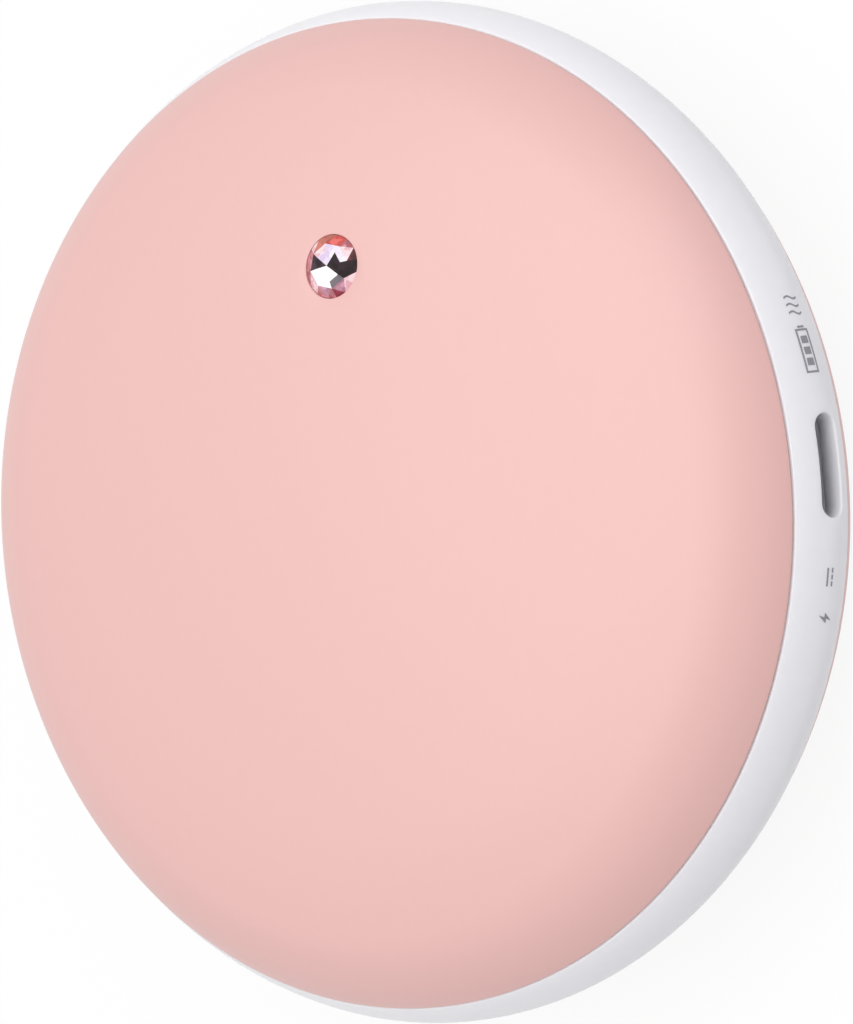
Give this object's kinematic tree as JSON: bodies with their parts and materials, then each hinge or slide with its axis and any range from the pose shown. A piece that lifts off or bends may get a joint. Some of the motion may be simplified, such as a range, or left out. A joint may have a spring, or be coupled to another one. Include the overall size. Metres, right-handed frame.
{
  "type": "rechargeable hand warmer",
  "caption": "Round domed pocket hand warmer: pink shells clasp a white band with a charging port, and a faceted jewel in the front shell is the power button.",
  "frame": {"origin": "centre of the rest flat on the rear cover, under the middle of the disc", "axes": "+Z is the disc's axis, from the rear cover to the front cover; +X points out through the charging port; the jewel lies near +Y"},
  "size_m": [0.0879, 0.088, 0.0263],
  "materials": {
    "pink_shell": "pressed aluminium shell with satin pink paint",
    "white_band": "moulded satin white plastic",
    "frame_plastic": "moulded heat-proof plastic",
    "heater_film": "etched heater on amber film",
    "felt_pad": "pressed ceramic-fibre felt",
    "yellow_lead": "silicone-covered wire",
    "bead_glass": "glass-sealed thermistor bead",
    "cell_foil": "foil pouch of the cell",
    "nickel": "nickel strip",
    "green_board": "green solder mask on glass laminate",
    "red_lead": "red silicone-covered wire",
    "black_lead": "black silicone-covered wire",
    "grey_lead": "grey thin wire",
    "white_tape": "double-sided tape",
    "grey_foam": "closed-cell foam sheet",
    "screw_steel": "plated steel",
    "chip_black": "moulded black epoxy",
    "ferrite": "sintered ferrite",
    "ceramic": "tan ceramic",
    "port_steel": "drawn stainless steel",
    "gold": "gold-plated contacts",
    "rose_crystal": "faceted glass with a mirror foil behind it",
    "clear_plastic": "clear moulded plastic",
    "white_plunger": "moulded nylon",
    "lamp_lens": "clear epoxy lamp"
  },
  "bodies": {
    "body": {"front_cover": "pink_shell", "rear_cover": "pink_shell", "middle_ring": "white_band", "front_snap_frame": "frame_plastic", "rear_snap_frame": "frame_plastic", "front_heater": "heater_film", "rear_heater": "heater_film", "front_insulation": "felt_pad", "rear_insulation": "felt_pad", "front_heater_leads": "yellow_lead", "rear_heater_leads": "yellow_lead", "front_thermistor": "bead_glass", "rear_thermistor": "bead_glass", "battery_cell": "cell_foil", "cell_tabs": "nickel", "protection_board": "green_board", "battery_lead_positive": "red_lead", "battery_lead_negative": "black_lead", "battery_tape": "white_tape", "lid_foam": "grey_foam", "battery_tray": "frame_plastic", "battery_lid": "frame_plastic", "tray_screws": "screw_steel", "lid_screws": "screw_steel", "board_screws": "screw_steel", "main_board": "green_board", "charge_chip": "chip_black", "control_chip": "chip_black", "power_inductor": "ferrite", "board_capacitors": "ceramic", "heater_transistors": "chip_black", "port_shell": "port_steel", "port_tongue": "chip_black", "port_contacts": "gold", "switch_board": "green_board", "switch_body": "chip_black", "switch_cover": "screw_steel", "switch_dome": "screw_steel", "status_lamp": "lamp_lens", "switch_leads": "grey_lead"},
    "button": {"jewel": "rose_crystal", "button_setting": "clear_plastic"},
    "plunger": {"switch_plunger": "white_plunger"}
  },
  "joints": [
    {"name": "button_press", "type": "slide", "parent": "body", "child": "button", "axis": [0, 0, -1], "range_m": [0, 0.0003], "stiffness_N_per_m": 2500},
    {"name": "plunger_press", "type": "slide", "parent": "body", "child": "plunger", "axis": [0, 0, -1], "range_m": [0, 0.0003], "deforming": ["switch_dome"]}
  ],
  "couplings": [
    {"joint": "plunger_press", "follows": "button_press", "ratio": 1}
  ]
}
